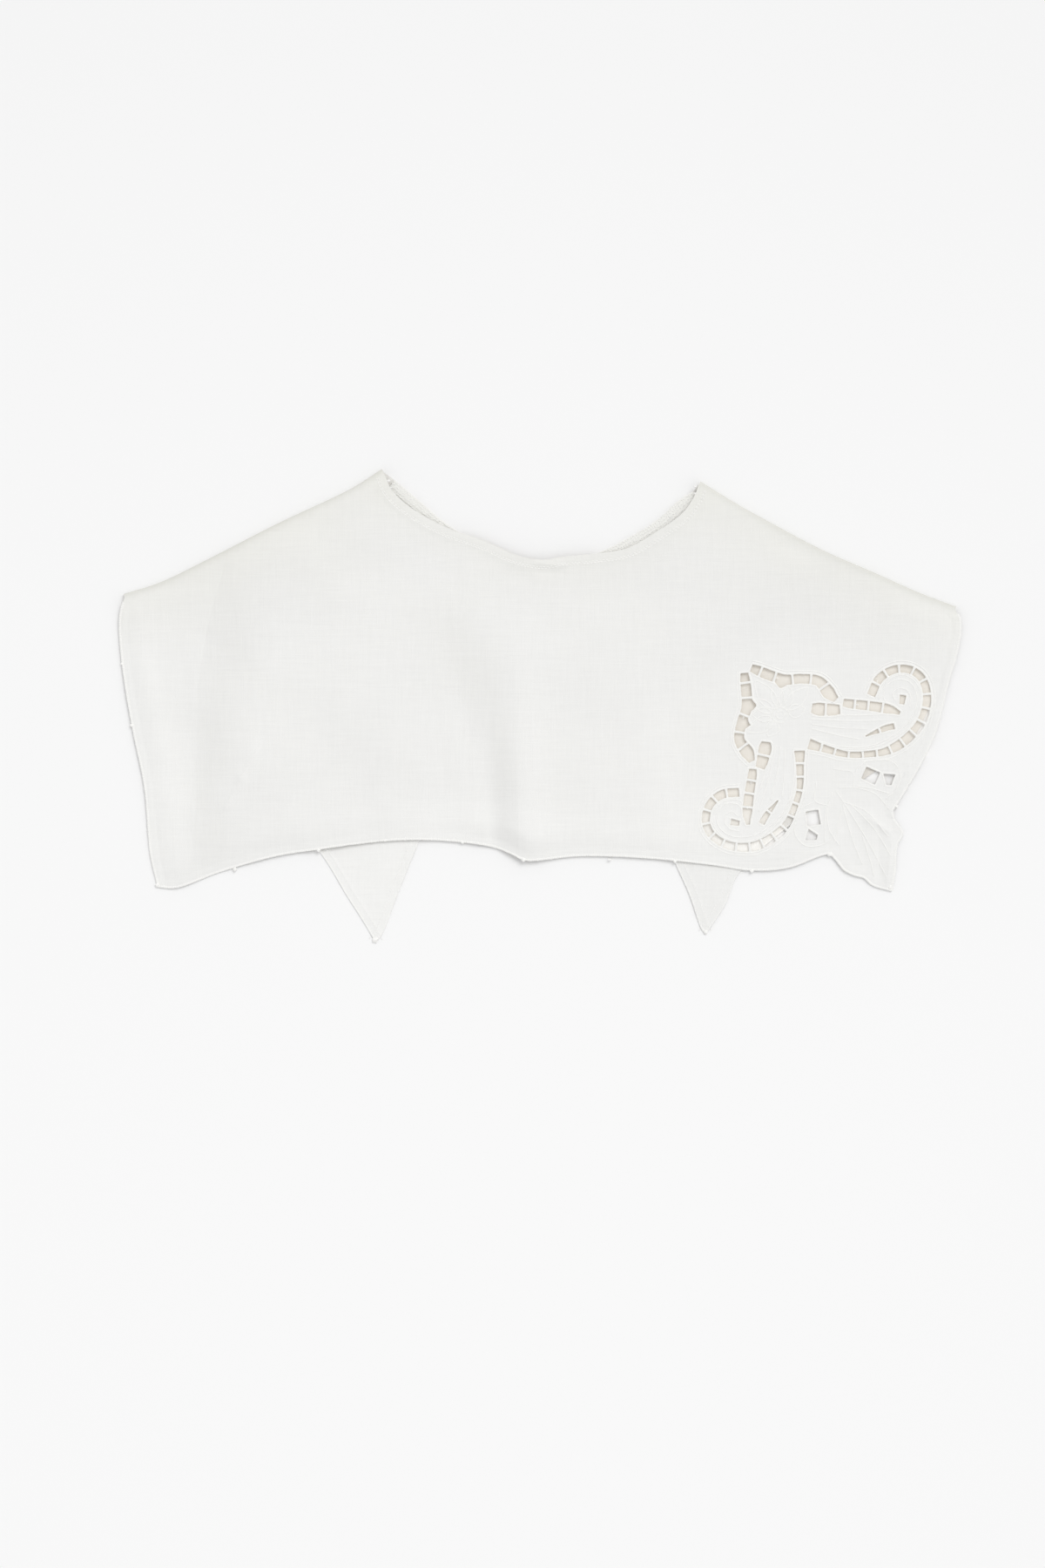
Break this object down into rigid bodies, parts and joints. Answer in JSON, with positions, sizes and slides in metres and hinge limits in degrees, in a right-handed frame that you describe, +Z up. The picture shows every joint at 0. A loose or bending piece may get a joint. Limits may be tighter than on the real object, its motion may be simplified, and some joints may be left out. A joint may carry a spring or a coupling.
{
  "type": "detachable cape collar laid flat",
  "caption": "White linen cape collar laid flat: shaped back panel with a scooped neck and a cutwork leaf corner, over two pointed fronts.",
  "frame": {"origin": "under the middle of the whole collar's box, on the surface that it lies on", "axes": "+X to the right of the collar as it is seen from above, +Y towards its neck, +Z up from the surface"},
  "size_m": [0.5021, 0.2824, 0.0103],
  "materials": {
    "linen_back": "matt plain-weave linen, soft white",
    "linen_front": "matt plain-weave linen, soft white",
    "linen_facing": "matt stitched linen band, soft white"
  },
  "bodies": {
    "root": {"back_panel": "linen_back", "front_left": "linen_front", "front_right": "linen_front", "neck_facing_left": "linen_facing", "neck_facing_right": "linen_facing"}
  },
  "joints": []
}
